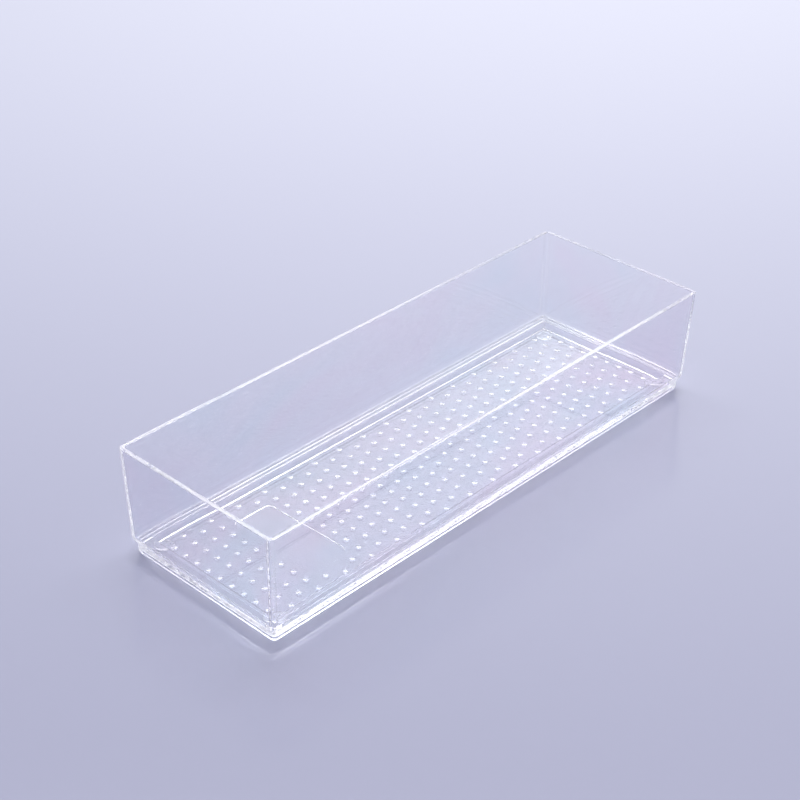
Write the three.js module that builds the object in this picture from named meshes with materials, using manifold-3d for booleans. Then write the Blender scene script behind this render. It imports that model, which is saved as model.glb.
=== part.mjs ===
// Clear drawer organizer insert: a long open-top tray moulded in one piece of
// crystal-clear plastic, standing on four clear silicone pads.
//
// Frame: millimetres, +Z up, origin at the centre of the footprint on the
// surface that the pads stand on. The long side runs along X.
//
// The tray's heights below are measured from the bottom of its foot ring, and
// its insets from the outer edge of its rim; PAD_PROUD lifts it onto its pads.

import * as THREE from 'three';
import { mergeVertices } from 'three/addons/utils/BufferGeometryUtils.js';
import Module from 'manifold-3d';

const wasm = await Module();
wasm.setup();

// ---- driving dimensions (mm) ------------------------------------------------

const LENGTH = 261; // outer length at the rim
const WIDTH = 87; // outer width at the rim
const HEIGHT = 50; // foot ring to rim

const WALL_TOP = 2.0; // wall thickness at the rim
const DRAFT = 1.4; // how far the outer face leans in, rim to shoulder
const RIM_CORNER = 2.5; // outer corner radius at the rim
const RIM_EDGE = 0.2; // broken edge on the rim
const INNER_CORNER = 0.8; // inner corner radius of the walls

const SHOULDER_UNDER = 5.3; // underside of the shoulder
const SHOULDER_TOP = 7.8; // where the straight outer face ends
const PLINTH_INSET = 3.1; // inset of the plinth's outer face
const PLINTH_CORNER = 2.0;

const LEDGE_Z = 7.0; // top of the ledge around the floor
const LEDGE_IN = 3.7; // inset of the inner wall face at the ledge
const LEDGE_OUT = 8.6; // inset of the step down to the floor
const FLOOR_Z = 3.2; // top of the floor
const FLOOR_INSET = 9.5; // inset where the floor becomes flat
const UNDER_Z = 1.2; // underside of the floor above the foot ring

const FOOT_WIDTH = 2.0; // width of the foot ring

const DOT_COLUMNS = 33; // columns of raised dots along the length
const DOT_ROWS = 10; // dots in the fuller columns, one fewer in the others
const DOT_PITCH_X = 7.35;
const DOT_PITCH_Y = 6.87;
const DOT_RADIUS = 1.35;
const DOT_HEIGHT = 0.45;

const PANEL_X = -80.9; // centre of the smooth panel in the floor
const PANEL_LENGTH = 20.0; // along X
const PANEL_WIDTH = 45.6; // along Y
const PANEL_CORNER = 3.0;
const PANEL_DEPTH = 0.3; // how far it is sunk into the floor

const PAD_PROUD = 0.3; // how far the pads stand below the foot ring
const PAD_RADIUS = 4.0;
const PAD_INSET = 11.6; // pad centre from the rim's outer edges
const PAD_GAP = 0.3; // layer of adhesive between pad and floor

const CORNER_STEPS = 4; // facets in each rounded corner

// ---- helpers ------------------------------------------------------------------

// Outline of a rectangle with round corners, counter-clockwise.
function outline(inset, radius) {
  const a = LENGTH / 2 - inset;
  const b = WIDTH / 2 - inset;
  return roundRect(a, b, radius, 0, 0);
}

function roundRect(a, b, radius, cx, cy) {
  const points = [];
  for (const [sx, sy, from] of [
    [1, 1, 0],
    [-1, 1, 1],
    [-1, -1, 2],
    [1, -1, 3],
  ]) {
    const arc = new THREE.EllipseCurve(
      cx + sx * (a - radius),
      cy + sy * (b - radius),
      radius,
      radius,
      (from * Math.PI) / 2,
      ((from + 1) * Math.PI) / 2,
    );
    points.push(...arc.getPoints(CORNER_STEPS));
  }
  return points;
}

// Closed solid through a stack of outlines, lowest first: [z, inset, radius].
function loft(rings) {
  return stack(rings.map(([z, inset, radius]) => [z, outline(inset, radius)]));
}

function stack(layers) {
  const n = layers[0][1].length;
  const positions = [];
  const index = [];
  for (const [z, points] of layers) {
    for (const p of points) positions.push(p.x, p.y, z);
  }
  for (let k = 0; k + 1 < layers.length; k++) {
    for (let i = 0; i < n; i++) {
      const j = (i + 1) % n;
      const a = k * n + i;
      const b = k * n + j;
      index.push(a, b, b + n, a, b + n, a + n);
    }
  }
  const top = (layers.length - 1) * n;
  for (const [x, y, z] of THREE.ShapeUtils.triangulateShape(layers[0][1], [])) {
    index.push(x, z, y);
  }
  for (const [x, y, z] of THREE.ShapeUtils.triangulateShape(layers.at(-1)[1], [])) {
    index.push(top + x, top + y, top + z);
  }
  const geometry = new THREE.BufferGeometry();
  geometry.setAttribute('position', new THREE.Float32BufferAttribute(positions, 3));
  geometry.setIndex(index);
  return geometry;
}

function toSolid(geometry) {
  const bare = geometry.clone();
  bare.deleteAttribute('normal');
  bare.deleteAttribute('uv');
  const merged = mergeVertices(bare, 1e-5);
  return new wasm.Manifold(
    new wasm.Mesh({
      numProp: 3,
      vertProperties: new Float32Array(merged.attributes.position.array),
      triVerts: new Uint32Array(merged.index.array),
    }),
  );
}

function toGeometry(solid) {
  const mesh = solid.getMesh();
  const geometry = new THREE.BufferGeometry();
  geometry.setAttribute('position', new THREE.BufferAttribute(new Float32Array(mesh.vertProperties), 3));
  geometry.setIndex(new THREE.BufferAttribute(new Uint32Array(mesh.triVerts), 1));
  geometry.computeVertexNormals();
  return geometry;
}

// ---- tray -----------------------------------------------------------------------

// Outer body: foot, plinth, rounded shoulder, drafted walls, rim.
const outer = loft([
  [0, PLINTH_INSET + 0.5, PLINTH_CORNER - 0.2],
  [0.35, PLINTH_INSET + 0.12, PLINTH_CORNER],
  [SHOULDER_UNDER, PLINTH_INSET, PLINTH_CORNER],
  [SHOULDER_UNDER + 0.02, DRAFT + 1.5, PLINTH_CORNER],
  [SHOULDER_UNDER + 0.34, DRAFT + 0.75, PLINTH_CORNER + 0.2],
  [SHOULDER_UNDER + 1.25, DRAFT + 0.2, RIM_CORNER],
  [SHOULDER_TOP, DRAFT, RIM_CORNER],
  [HEIGHT - RIM_EDGE, 0, RIM_CORNER],
  [HEIGHT, RIM_EDGE, RIM_CORNER - RIM_EDGE],
]);

// Space inside: walls, ledge all round, step down to the floor.
const inner = loft([
  [FLOOR_Z, FLOOR_INSET, 0.5],
  [FLOOR_Z + 0.2, FLOOR_INSET - 0.45, 0.7],
  [FLOOR_Z + 0.8, FLOOR_INSET - 0.7, 0.8],
  [LEDGE_Z - 0.5, LEDGE_OUT, 0.9],
  [LEDGE_Z - 0.15, LEDGE_OUT - 0.15, 0.9],
  [LEDGE_Z, LEDGE_OUT - 0.5, 0.9],
  [LEDGE_Z + 0.01, LEDGE_IN + 0.8, 0.6],
  [LEDGE_Z + 0.22, LEDGE_IN + 0.24, 0.7],
  [LEDGE_Z + 0.8, LEDGE_IN, INNER_CORNER],
  [HEIGHT + 0.5, WALL_TOP - 0.02, INNER_CORNER],
]);

// Hollow under the floor, inside the foot ring.
const footIn = PLINTH_INSET + FOOT_WIDTH;
const under = loft([
  [-1, footIn - 0.06, 0.8],
  [UNDER_Z, footIn + 0.04, 0.8],
]);

// Raised dots: staggered columns, left out on and beside the smooth panel.
function dotCentres() {
  const centres = [];
  for (let k = 0; k < DOT_COLUMNS; k++) {
    const x = (k - (DOT_COLUMNS - 1) / 2) * DOT_PITCH_X;
    const rows = k % 2 === 0 ? DOT_ROWS - 1 : DOT_ROWS;
    for (let j = 0; j < rows; j++) {
      const y = (j - (rows - 1) / 2) * DOT_PITCH_Y;
      const onPanel =
        Math.abs(x - PANEL_X) < PANEL_LENGTH / 2 + DOT_RADIUS + 0.2 &&
        Math.abs(y) < PANEL_WIDTH / 2 + DOT_RADIUS + 0.2;
      if (!onPanel) centres.push([x, y]);
    }
  }
  return centres;
}

function dots() {
  const sides = 6;
  const positions = [];
  const index = [];
  for (const [x, y] of dotCentres()) {
    const base = positions.length / 3;
    for (const [z, r] of [
      [FLOOR_Z - 0.4, DOT_RADIUS],
      [FLOOR_Z, DOT_RADIUS],
      [FLOOR_Z + DOT_HEIGHT, DOT_RADIUS * 0.5],
    ]) {
      for (let s = 0; s < sides; s++) {
        const a = ((s + 0.5) / sides) * 2 * Math.PI;
        positions.push(x + r * Math.cos(a), y + r * Math.sin(a), z);
      }
    }
    for (let k = 0; k < 2; k++) {
      for (let s = 0; s < sides; s++) {
        const a = base + k * sides + s;
        const b = base + k * sides + ((s + 1) % sides);
        index.push(a, b, b + sides, a, b + sides, a + sides);
      }
    }
    for (let s = 1; s + 1 < sides; s++) {
      index.push(base, base + s + 1, base + s);
      index.push(base + 2 * sides, base + 2 * sides + s, base + 2 * sides + s + 1);
    }
  }
  const geometry = new THREE.BufferGeometry();
  geometry.setAttribute('position', new THREE.Float32BufferAttribute(positions, 3));
  geometry.setIndex(index);
  return geometry;
}

// Smooth panel sunk into the floor.
const panel = stack([
  [FLOOR_Z - PANEL_DEPTH, roundRect(PANEL_LENGTH / 2 - 0.3, PANEL_WIDTH / 2 - 0.3, PANEL_CORNER - 0.3, PANEL_X, 0)],
  [FLOOR_Z + 0.1, roundRect(PANEL_LENGTH / 2 + 0.1, PANEL_WIDTH / 2 + 0.1, PANEL_CORNER + 0.1, PANEL_X, 0)],
]);

const traySolid = toSolid(outer)
  .subtract(toSolid(inner))
  .subtract(toSolid(under))
  .add(toSolid(dots()))
  .subtract(toSolid(panel));

const clearPlastic = new THREE.MeshStandardMaterial({
  name: 'clear_plastic',
  color: 0xe9ecf8,
  roughness: 0.05,
  metalness: 0,
  transparent: true,
  opacity: 0.25,
});

const tray = new THREE.Mesh(toGeometry(traySolid), clearPlastic);
tray.name = 'tray';
tray.position.z = PAD_PROUD;

// ---- pads -------------------------------------------------------------------------

const padTop = PAD_PROUD + UNDER_Z - PAD_GAP;
const padProfile = [
  [0, 0],
  [PAD_RADIUS - 0.3, 0],
  [PAD_RADIUS, 0.3],
  [PAD_RADIUS, padTop],
  [0, padTop],
].map(([r, z]) => new THREE.Vector2(r, z));

const clearSilicone = new THREE.MeshStandardMaterial({
  name: 'clear_silicone',
  color: 0xeceef2,
  roughness: 0.35,
  metalness: 0,
  transparent: true,
  opacity: 0.5,
});

function pad(name, sx, sy) {
  const turned = new THREE.LatheGeometry(padProfile, 28);
  turned.rotateX(Math.PI / 2); // axis from Y to Z
  const mesh = new THREE.Mesh(toGeometry(toSolid(upright(turned))), clearSilicone);
  mesh.name = name;
  mesh.position.set(sx * (LENGTH / 2 - PAD_INSET), sy * (WIDTH / 2 - PAD_INSET), 0);
  return mesh;
}

// Merged, degenerate-free copy of a lathe with its faces outwards.
function upright(geometry) {
  const bare = geometry.clone();
  bare.deleteAttribute('normal');
  bare.deleteAttribute('uv');
  const merged = mergeVertices(bare, 1e-4);
  const p = merged.attributes.position;
  const old = merged.index.array;
  const index = [];
  let volume = 0;
  for (let i = 0; i < old.length; i += 3) {
    const [a, b, c] = [old[i], old[i + 1], old[i + 2]];
    if (a === b || b === c || c === a) continue;
    index.push(a, b, c);
    const [A, B, C] = [a, b, c].map((k) => new THREE.Vector3().fromBufferAttribute(p, k));
    volume += A.dot(B.cross(C));
  }
  if (volume < 0) {
    for (let i = 0; i < index.length; i += 3) {
      [index[i + 1], index[i + 2]] = [index[i + 2], index[i + 1]];
    }
  }
  merged.setIndex(index);
  return merged;
}

// ---- assembly ---------------------------------------------------------------------

const organizer = new THREE.Group();
organizer.name = 'drawer_organizer_insert';
organizer.add(tray);
organizer.add(pad('pad_front_left', -1, -1));
organizer.add(pad('pad_front_right', 1, -1));
organizer.add(pad('pad_back_left', -1, 1));
organizer.add(pad('pad_back_right', 1, 1));

export default organizer;
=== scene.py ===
import math

import bpy
import numpy as np
from mathutils import Matrix, Vector, geometry


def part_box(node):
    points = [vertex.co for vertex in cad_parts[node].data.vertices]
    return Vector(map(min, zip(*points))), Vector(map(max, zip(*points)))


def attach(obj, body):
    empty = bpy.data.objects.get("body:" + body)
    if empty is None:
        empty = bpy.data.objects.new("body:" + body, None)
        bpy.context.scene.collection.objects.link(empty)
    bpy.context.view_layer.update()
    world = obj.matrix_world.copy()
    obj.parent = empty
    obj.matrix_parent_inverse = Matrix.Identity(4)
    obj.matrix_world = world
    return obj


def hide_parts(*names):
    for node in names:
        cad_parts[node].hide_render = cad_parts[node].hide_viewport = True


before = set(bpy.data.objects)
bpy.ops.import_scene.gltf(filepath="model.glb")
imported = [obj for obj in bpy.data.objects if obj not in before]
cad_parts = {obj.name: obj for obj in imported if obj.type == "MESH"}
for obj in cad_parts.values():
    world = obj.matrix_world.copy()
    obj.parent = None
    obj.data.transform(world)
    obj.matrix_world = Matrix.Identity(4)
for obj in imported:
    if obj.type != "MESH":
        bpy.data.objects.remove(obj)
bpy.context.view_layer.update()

# ------------------------------------------------------------------ dimensions
# Millimetres. Heights are measured from the bottom of the foot ring and insets
# from the outer edge of the rim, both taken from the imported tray's own box.

TRAY_LO, TRAY_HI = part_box("tray")
HALF_L = (TRAY_HI[0] - TRAY_LO[0]) * 500
HALF_W = (TRAY_HI[1] - TRAY_LO[1]) * 500
HEIGHT = (TRAY_HI[2] - TRAY_LO[2]) * 1000
LIFT = TRAY_LO[2] * 1000

FLOOR_Z, UNDER_Z = 3.2, 1.2
LEDGE_Z, LEDGE_OUT = 7.0, 8.6
FLOOR_FLAT = 9.9

DOT_COLUMNS, DOT_ROWS = 33, 10
DOT_PITCH_X, DOT_PITCH_Y = 7.35, 6.87
DOT_RADIUS = 1.35
PANEL_X, PANEL_LENGTH, PANEL_WIDTH, PANEL_CORNER, PANEL_DEPTH = -80.9, 20.0, 45.6, 3.0, 0.3


# ------------------------------------------------------------------ mesh helpers
class Skin:
    """Vertices with exact normals, and faces, gathered into one mesh."""

    def __init__(self):
        self.co, self.no, self.faces = [], [], []

    def add(self, co, no):
        first = len(self.co)
        self.co.extend(co)
        self.no.extend(no)
        return list(range(first, first + len(co)))

    def bridge(self, low, high):
        n = len(low)
        for i in range(n):
            j = (i + 1) % n
            self.faces.append((low[i], low[j], high[j], high[i]))

    def build(self, name, material):
        co = np.array(self.co, dtype=np.float64) * 0.001
        co[:, 2] += LIFT * 0.001
        me = bpy.data.meshes.new(name)
        me.from_pydata([tuple(c) for c in co], [], self.faces)
        me.polygons.foreach_set("use_smooth", [True] * len(me.polygons))
        me.update()
        me.normals_split_custom_set_from_vertices([Vector(n).normalized() for n in self.no])
        me.materials.append(material)
        ob = bpy.data.objects.new(name, me)
        bpy.context.scene.collection.objects.link(ob)
        return ob


def rounded(points, step=11.0):
    """A polyline of (out, z, fillet, corner) as a smooth profile of (out, z, normal out, normal z, corner).

    out runs outwards. The material lies to the left of the line, and the normal points to its right.
    """
    result = []
    last = len(points) - 1
    for i, (x, z, r, c) in enumerate(points):
        if i == 0 or i == last:
            a, b = (points[0], points[1]) if i == 0 else (points[last - 1], points[last])
            d = Vector((b[0] - a[0], b[1] - a[1])).normalized()
            result.append((x, z, d.y, -d.x, c))
            continue
        p = Vector((x, z))
        d1 = (p - Vector(points[i - 1][:2])).normalized()
        d2 = (Vector(points[i + 1][:2]) - p).normalized()
        turn = math.atan2(d1.x * d2.y - d1.y * d2.x, d1.dot(d2))
        side = 1 if turn > 0 else -1
        t = r * math.tan(abs(turn) / 2)
        left = Vector((-d1.y, d1.x))
        centre = p - d1 * t + left * r * side
        n = max(3, math.ceil(math.degrees(abs(turn)) / step))
        for k in range(n + 1):
            a = turn * k / n
            d = Vector((d1.x * math.cos(a) - d1.y * math.sin(a), d1.x * math.sin(a) + d1.y * math.cos(a)))
            normal = Vector((d.y, -d.x))
            q = centre + normal * r * side
            result.append((q.x, q.y, normal.x, normal.y, c))
    return result


CORNER = 12


def ring(half_x, half_y, corner, z, nout, nz, cx=0.0, cy=0.0):
    """One outline of a rectangle with round corners, counter-clockwise, with its normals."""
    co, no = [], []
    for sx, sy, q in ((1, 1, 0), (-1, 1, 1), (-1, -1, 2), (1, -1, 3)):
        for k in range(CORNER + 1):
            a = math.pi / 2 * (q + k / CORNER)
            co.append((cx + sx * (half_x - corner) + corner * math.cos(a), cy + sy * (half_y - corner) + corner * math.sin(a), z))
            no.append((math.cos(a) * nout, math.sin(a) * nout, nz))
    return co, no


# ------------------------------------------------------------------ tray
def tray_profile():
    """Section of the moulding, from its underside round the foot, wall and rim to the floor. The first number is the inset."""
    before = [
        (7.6, 1.2, 0, 0.8),
        (5.2, 1.2, 0.3, 0.8),
        (5.08, 0.0, 0.35, 0.9),
        (3.2, 0.0, 0.5, 1.8),
        (3.1, 5.3, 0.25, 2.0),
        (2.9, 5.3, 0, 2.2),
    ]
    line = rounded([(-u, z, r, c) for u, z, r, c in before])
    # the wall's foot curves in to the shoulder: a quarter ellipse
    for k in range(1, 13):
        a = math.pi / 2 * k / 12
        n = Vector((math.sin(a) / 1.5, -math.cos(a) / 2.5)).normalized()
        line.append((-(2.9 - 1.5 * math.sin(a)), 7.8 - 2.5 * math.cos(a), n.x, n.y, 2.2 + 0.3 * math.sin(a)))
    after = [
        (1.4, 7.8, 0, 2.5),
        (0.0, HEIGHT, 0.25, 2.5),
        (2.0, HEIGHT, 0.25, 0.9),
        (3.72, LEDGE_Z, 0.8, 0.8),
        (LEDGE_OUT - 0.05, LEDGE_Z, 0.5, 0.9),
        (LEDGE_OUT + 0.35, FLOOR_Z, 0.6, 0.9),
        (FLOOR_FLAT, FLOOR_Z, 0, 0.5),
    ]
    return line + rounded([(-u, z, r, c) for u, z, r, c in after])[1:]


def dot_centres():
    for k in range(DOT_COLUMNS):
        x = (k - (DOT_COLUMNS - 1) / 2) * DOT_PITCH_X
        rows = DOT_ROWS - 1 if k % 2 == 0 else DOT_ROWS
        for j in range(rows):
            y = (j - (rows - 1) / 2) * DOT_PITCH_Y
            if abs(x - PANEL_X) < PANEL_LENGTH / 2 + DOT_RADIUS + 0.2 and abs(y) < PANEL_WIDTH / 2 + DOT_RADIUS + 0.2:
                continue
            yield x, y


def dot_profile():
    """Rings of one raised dot, from its foot to its crown: radius, height, slope angle. A round cap on a small fillet."""
    angle, cap, foot = math.radians(36), 2.0, 0.3
    radius = (cap + foot) * math.sin(angle)
    height = (cap + foot) * (1 - math.cos(angle))
    rings = [(radius - foot * math.sin(a), foot * (1 - math.cos(a)), a) for a in (angle * k / 3 for k in range(4))]
    rings += [(cap * math.sin(a), height - cap * (1 - math.cos(a)), a) for a in (angle * k / 6 for k in (5, 4, 3, 2, 1))]
    return rings, height


def build_tray(material):
    skin = Skin()
    rings = []
    for out, z, nout, nz, corner in tray_profile():
        co, no = ring(HALF_L + out, HALF_W + out, corner, z, nout, nz)
        rings.append(skin.add(co, no))
    for low, high in zip(rings, rings[1:]):
        skin.bridge(low, high)
    skin.faces.append(tuple(reversed(rings[0])))  # underside of the floor

    flat, edges, ids = [], [], []

    def outline(loop):
        first = len(flat)
        for i in loop:
            flat.append(Vector(skin.co[i][:2]))
            ids.append(i)
        edges.extend((first + k, first + (k + 1) % len(loop)) for k in range(len(loop)))

    outline(rings[-1])

    # smooth panel, sunk into the floor with soft edges
    holes = []
    a, b = PANEL_LENGTH / 2, PANEL_WIDTH / 2
    edge = rounded(
        [(0.25, FLOOR_Z, 0, 0), (0.0, FLOOR_Z, 0.12, 0), (-0.25, FLOOR_Z - PANEL_DEPTH, 0.12, 0), (-0.6, FLOOR_Z - PANEL_DEPTH, 0, 0)],
        step=15,
    )
    loops = []
    for out, z, nout, nz, _ in edge:
        co, no = ring(a + out, b + out, PANEL_CORNER + out, z, nout, nz, PANEL_X)
        loops.append(skin.add(co, no))
    for low, high in zip(loops, loops[1:]):
        skin.bridge(low, high)
    skin.faces.append(tuple(loops[-1]))
    outline(loops[0])

    # raised dots
    sides = 20
    profile, height = dot_profile()
    turn = [2 * math.pi * k / sides for k in range(sides)]
    for x, y in dot_centres():
        loops = []
        for r, z, slope in profile:
            co = [(x + r * math.cos(t), y + r * math.sin(t), FLOOR_Z + z) for t in turn]
            no = [(math.sin(slope) * math.cos(t), math.sin(slope) * math.sin(t), math.cos(slope)) for t in turn]
            loops.append(skin.add(co, no))
        for low, high in zip(loops, loops[1:]):
            skin.bridge(low, high)
        crown = skin.add([(x, y, FLOOR_Z + height)], [(0, 0, 1)])[0]
        for k in range(sides):
            skin.faces.append((loops[-1][k], loops[-1][(k + 1) % sides], crown))
        outline(loops[0])
        holes.append((x, y))

    verts, _, faces, origin, _, _ = geometry.delaunay_2d_cdt(flat, edges, [], 1, 1e-6, True)
    where = np.array(holes)
    reach = profile[0][0] * 0.98
    for face in faces:
        c = sum((verts[i] for i in face), Vector((0, 0))) / len(face)
        if abs(c.x - PANEL_X) < a + 0.2 and abs(c.y) < b + 0.2:
            dx, dy = abs(c.x - PANEL_X) - (a + 0.25 - PANEL_CORNER - 0.25), abs(c.y) - (b + 0.25 - PANEL_CORNER - 0.25)
            if dx < 0 or dy < 0 or math.hypot(dx, dy) < PANEL_CORNER + 0.24:
                continue
        if np.hypot(where[:, 0] - c.x, where[:, 1] - c.y).min() < reach:
            continue
        loop = [ids[origin[i][0]] for i in face]
        p, q, r = (Vector(skin.co[i][:2]) for i in loop)
        if (q - p).cross(r - p) < 0:
            loop.reverse()
        skin.faces.append(tuple(loop))
    return skin.build("tray_moulding", material)


# ------------------------------------------------------------------ pads
def build_pad(node, material):
    lo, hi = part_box(node)
    cx, cy = (lo[0] + hi[0]) * 500, (lo[1] + hi[1]) * 500
    radius, top = (hi[0] - lo[0]) * 500, (hi[2] - lo[2]) * 1000
    line = rounded([(0.01, 0, 0, 0), (radius, 0, 0.35, 0), (radius, top, 0.12, 0), (0.01, top, 0, 0)])
    skin = Skin()
    sides = 64
    turn = [2 * math.pi * k / sides for k in range(sides)]
    loops = []
    for out, z, nout, nz, _ in line[1:-1]:
        co = [(cx + out * math.cos(t), cy + out * math.sin(t), z - LIFT) for t in turn]
        no = [(nout * math.cos(t), nout * math.sin(t), nz) for t in turn]
        loops.append(skin.add(co, no))
    for low, high in zip(loops, loops[1:]):
        skin.bridge(low, high)
    skin.faces.append(tuple(reversed(loops[0])))
    skin.faces.append(tuple(loops[-1]))
    return skin.build(node + "_silicone", material)


# ------------------------------------------------------------------ materials
def nodes_of(name):
    mat = bpy.data.materials.new(name)
    mat.use_nodes = True
    nt = mat.node_tree
    nt.nodes.clear()
    return mat, nt


def node(nt, kind, **values):
    n = nt.nodes.new(kind)
    for key, value in values.items():
        if key in n.inputs.keys():
            n.inputs[key].default_value = value
        else:
            setattr(n, key, value)
    return n


def clear_plastic():
    """Polished polystyrene: clear, with faint moulding stresses that tint it and a barely wavy surface."""
    mat, nt = nodes_of("clear_plastic")
    link = nt.links.new
    coords = node(nt, "ShaderNodeTexCoord")

    # flow and stress colours: soft pink and cyan clouds, drawn out along the tray
    stretch = node(nt, "ShaderNodeMapping")
    stretch.inputs["Scale"].default_value = (14.0, 26.0, 22.0)
    clouds = node(nt, "ShaderNodeTexNoise", Scale=1.0, Detail=3.0, Roughness=0.45, Distortion=1.2)
    link(coords.outputs["Object"], stretch.inputs["Vector"])
    link(stretch.outputs["Vector"], clouds.inputs["Vector"])
    tint = node(nt, "ShaderNodeValToRGB")
    ramp = tint.color_ramp
    ramp.elements[0].position, ramp.elements[0].color = 0.30, (0.94, 0.985, 1.0, 1)
    ramp.elements[1].position, ramp.elements[1].color = 0.74, (1.0, 0.953, 0.985, 1)
    middle = ramp.elements.new(0.52)
    middle.color = (0.985, 0.985, 1.0, 1)
    link(clouds.outputs["Fac"], tint.inputs["Fac"])

    # slight waviness of the moulded faces
    waves = node(nt, "ShaderNodeTexNoise", Scale=38.0, Detail=2.0, Roughness=0.5)
    link(coords.outputs["Object"], waves.inputs["Vector"])
    bump = node(nt, "ShaderNodeBump", Strength=0.06, Distance=0.0006)
    link(waves.outputs["Fac"], bump.inputs["Height"])

    # polish: a little duller in places
    haze = node(nt, "ShaderNodeTexNoise", Scale=9.0, Detail=4.0, Roughness=0.6)
    link(coords.outputs["Object"], haze.inputs["Vector"])
    rough = node(nt, "ShaderNodeMapRange")
    rough.inputs["From Min"].default_value = 0.3
    rough.inputs["From Max"].default_value = 0.8
    rough.inputs["To Min"].default_value = 0.0
    rough.inputs["To Max"].default_value = 0.035
    link(haze.outputs["Fac"], rough.inputs["Value"])

    body = node(nt, "ShaderNodeBsdfPrincipled", IOR=1.58)
    body.inputs["Transmission Weight"].default_value = 1.0
    body.inputs["Metallic"].default_value = 0.0
    link(tint.outputs["Color"], body.inputs["Base Color"])
    link(rough.outputs["Result"], body.inputs["Roughness"])
    link(bump.outputs["Normal"], body.inputs["Normal"])

    out = node(nt, "ShaderNodeOutputMaterial")
    link(body.outputs["BSDF"], out.inputs["Surface"])
    return mat


def clear_silicone():
    """Soft clear silicone: satin, a little cloudy."""
    mat, nt = nodes_of("clear_silicone")
    link = nt.links.new
    coords = node(nt, "ShaderNodeTexCoord")
    cloud = node(nt, "ShaderNodeTexNoise", Scale=220.0, Detail=3.0, Roughness=0.55)
    link(coords.outputs["Object"], cloud.inputs["Vector"])
    tint = node(nt, "ShaderNodeValToRGB")
    tint.color_ramp.elements[0].color = (0.93, 0.94, 0.955, 1)
    tint.color_ramp.elements[1].color = (0.985, 0.985, 0.99, 1)
    link(cloud.outputs["Fac"], tint.inputs["Fac"])
    rough = node(nt, "ShaderNodeMapRange")
    rough.inputs["To Min"].default_value = 0.18
    rough.inputs["To Max"].default_value = 0.32
    link(cloud.outputs["Fac"], rough.inputs["Value"])
    body = node(nt, "ShaderNodeBsdfPrincipled", IOR=1.41)
    body.inputs["Transmission Weight"].default_value = 1.0
    link(tint.outputs["Color"], body.inputs["Base Color"])
    link(rough.outputs["Result"], body.inputs["Roughness"])
    out = node(nt, "ShaderNodeOutputMaterial")
    link(body.outputs["BSDF"], out.inputs["Surface"])
    return mat


# ------------------------------------------------------------------ the object
plastic, silicone = clear_plastic(), clear_silicone()

tray = build_tray(plastic)
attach(tray, "root")
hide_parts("tray")

for name in ("pad_front_left", "pad_front_right", "pad_back_left", "pad_back_right"):
    pad = build_pad(name, silicone)
    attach(pad, "root")
    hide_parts(name)


# ------------------------------------------------------------------ stage
def floor_material():
    """Glossy pale lavender table top, with a painted pool of light: its colour is lighter towards the lamp."""
    mat, nt = nodes_of("table_top")
    link = nt.links.new
    coords = node(nt, "ShaderNodeTexCoord")
    body = node(nt, "ShaderNodeBsdfPrincipled", IOR=1.45)
    # painted light: the base colour runs from a darker bluish tone to a lighter one towards the softbox, a pool of lamp
    # light painted on the table
    along = node(nt, "ShaderNodeVectorMath", operation="DOT_PRODUCT")
    link(coords.outputs["Object"], along.inputs[0])
    along.inputs[1].default_value = (0.7117, 0.7025, 0)
    ahead = node(nt, "ShaderNodeMapRange", interpolation_type="SMOOTHSTEP")
    for name, v in (("From Min", -0.45), ("From Max", 0.75)):
        ahead.inputs[name].default_value = v
    link(along.outputs["Value"], ahead.inputs["Value"])
    painted_light_pool = node(nt, "ShaderNodeMix", data_type="RGBA")
    painted_light_pool.inputs["A"].default_value = (0.275, 0.28, 0.38, 1)
    painted_light_pool.inputs["B"].default_value = (0.42, 0.43, 0.52, 1)
    link(ahead.outputs["Result"], painted_light_pool.inputs["Factor"])
    link(painted_light_pool.outputs["Result"], body.inputs["Base Color"])
    body.inputs["Roughness"].default_value = 0.16
    out = node(nt, "ShaderNodeOutputMaterial")
    link(body.outputs["BSDF"], out.inputs["Surface"])
    return mat


def build_floor():
    me = bpy.data.meshes.new("table")
    s = 2.5
    me.from_pydata([(-s, -s, 0), (s, -s, 0), (s, s, 0), (-s, s, 0)], [], [(0, 1, 2, 3)])
    me.materials.append(floor_material())
    ob = bpy.data.objects.new("table", me)
    ob.location.z = -0.00005
    bpy.context.scene.collection.objects.link(ob)
    return ob


build_floor()


def area(name, at, look, size, power, colour, shape="RECTANGLE", size_y=None):
    light = bpy.data.lights.new(name, "AREA")
    light.shape = shape
    light.size = size
    if size_y:
        light.size_y = size_y
    light.energy = power
    light.color = colour
    ob = bpy.data.objects.new(name, light)
    ob.location = at
    ob.rotation_mode = "QUATERNION"
    ob.rotation_quaternion = (Vector(look) - Vector(at)).to_track_quat("-Z", "Y")
    bpy.context.scene.collection.objects.link(ob)
    return ob


area("softbox_top", (0.36, 0.32, 1.0), (0.0, 0.0, 0), 1.0, 5.2, (1.0, 1.0, 1.0))


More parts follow.
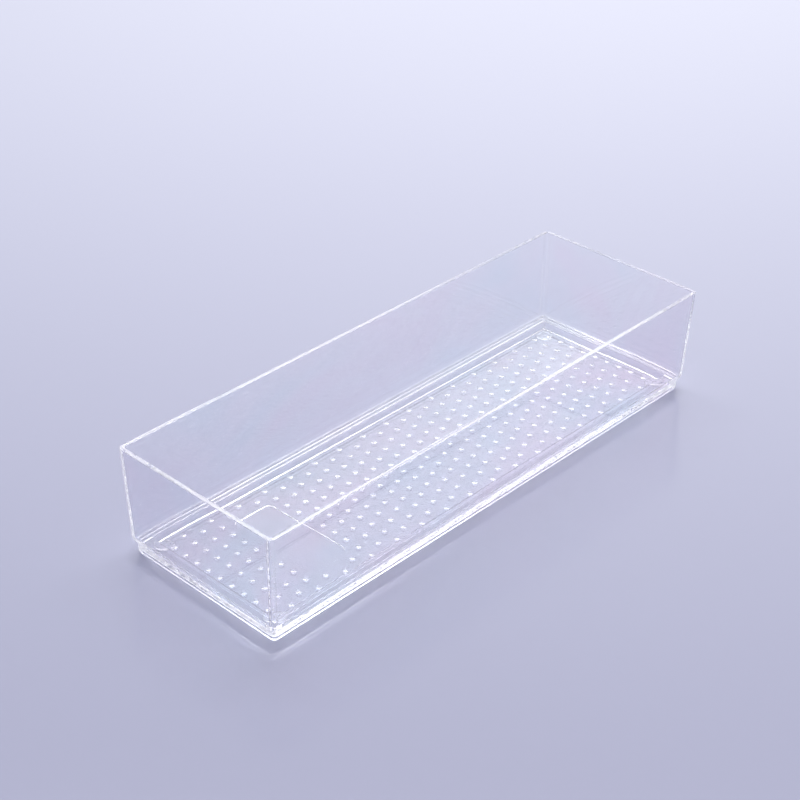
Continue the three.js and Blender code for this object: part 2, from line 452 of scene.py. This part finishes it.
def build_world():
    """A white light tent with one wall lit: behind the object, from table height to well above it."""
    world = bpy.data.worlds.new("tent")
    bpy.context.scene.world = world
    world.use_nodes = True
    nt = world.node_tree
    nt.nodes.clear()
    link = nt.links.new

    def math_node(kind, a, b=None):
        n = node(nt, "ShaderNodeMath", operation=kind)
        for socket, value in zip(n.inputs, (a, b)):
            if value is None:
                continue
            if isinstance(value, (int, float)):
                socket.default_value = value
            else:
                link(value, socket)
        return n.outputs[0]

    def smooth(value, lo, hi, to_lo=0.0, to_hi=1.0):
        n = node(nt, "ShaderNodeMapRange", interpolation_type="SMOOTHSTEP")
        for name, v in (("From Min", lo), ("From Max", hi), ("To Min", to_lo), ("To Max", to_hi)):
            n.inputs[name].default_value = v
        link(value, n.inputs["Value"])
        return n.outputs["Result"]

    def along(vector):
        n = node(nt, "ShaderNodeVectorMath", operation="DOT_PRODUCT")
        link(coords.outputs["Generated"], n.inputs[0])
        n.inputs[1].default_value = vector
        return n.outputs["Value"]

    coords = node(nt, "ShaderNodeTexCoord")
    across, ahead, height = along((0.5683, -0.8229, 0)), along((0.8229, 0.5683, 0)), along((0, 0, 1))
    side = math_node("EXPONENT", math_node("MULTIPLY", math_node("POWER", math_node("ABSOLUTE", across), 2.0), -1 / GLOW_WIDTH**2))
    lit = math_node("MULTIPLY", math_node("MULTIPLY", side, smooth(ahead, 0.0, 0.35)), math_node("MULTIPLY", smooth(height, 0.0, 0.28, GLOW_LOW, 1.0), smooth(height, 0.95, 0.60)))
    glow = node(nt, "ShaderNodeBackground")
    glow.inputs["Color"].default_value = (1.0, 1.0, 0.985, 1)
    link(math_node("MULTIPLY", lit, GLOW), glow.inputs["Strength"])
    sky = node(nt, "ShaderNodeValToRGB")
    ramp = sky.color_ramp
    ramp.elements[0].position, ramp.elements[0].color = 0.0, (0.76, 0.77, 0.86, 1)
    ramp.elements[1].position, ramp.elements[1].color = 1.0, (1.02, 1.02, 1.10, 1)
    middle = ramp.elements.new(0.45)
    middle.color = (0.90, 0.905, 0.99, 1)
    link(smooth(height, -0.2, 1.0), sky.inputs["Fac"])
    back = node(nt, "ShaderNodeBackground", Strength=1.0)
    link(sky.outputs["Color"], back.inputs["Color"])
    add = node(nt, "ShaderNodeAddShader")
    link(glow.outputs[0], add.inputs[0])
    link(back.outputs[0], add.inputs[1])
    out = node(nt, "ShaderNodeOutputWorld")
    link(add.outputs[0], out.inputs[0])


GLOW, GLOW_WIDTH, GLOW_LOW = 1.1, 0.46, 0.8
build_world()

# ------------------------------------------------------------------ camera
EYE = Vector((-0.46620, -0.41757, 0.42643 + LIFT * 0.001))
AZ, EL = math.radians(-45.371), math.radians(32.237)
away = Vector((math.sin(AZ) * math.cos(EL), -math.cos(AZ) * math.cos(EL), math.sin(EL)))
right = (-away).cross(Vector((0, 0, 1))).normalized()
up = right.cross(-away)
cam_data = bpy.data.cameras.new("camera")
cam_data.sensor_width = 36.0
cam_data.lens = 36.0 * 1752.69 / 800
cam_data.shift_x = (400 - 355.53) / 800
cam_data.clip_start, cam_data.clip_end = 0.05, 50
cam = bpy.data.objects.new("camera", cam_data)
cam.matrix_world = Matrix((right, up, away)).transposed().to_4x4()
cam.matrix_world.translation = EYE
bpy.context.scene.collection.objects.link(cam)
bpy.context.scene.camera = cam

scene = bpy.context.scene
scene.view_settings.view_transform = "Standard"
scene.view_settings.look = "None"

# light has to find its way along the walls and through every edge of the clear plastic
scene.cycles.max_bounces = 80
scene.cycles.glossy_bounces = 76
scene.cycles.transmission_bounces = 76
scene.cycles.transparent_max_bounces = 16
scene.cycles.blur_glossy = 0.0
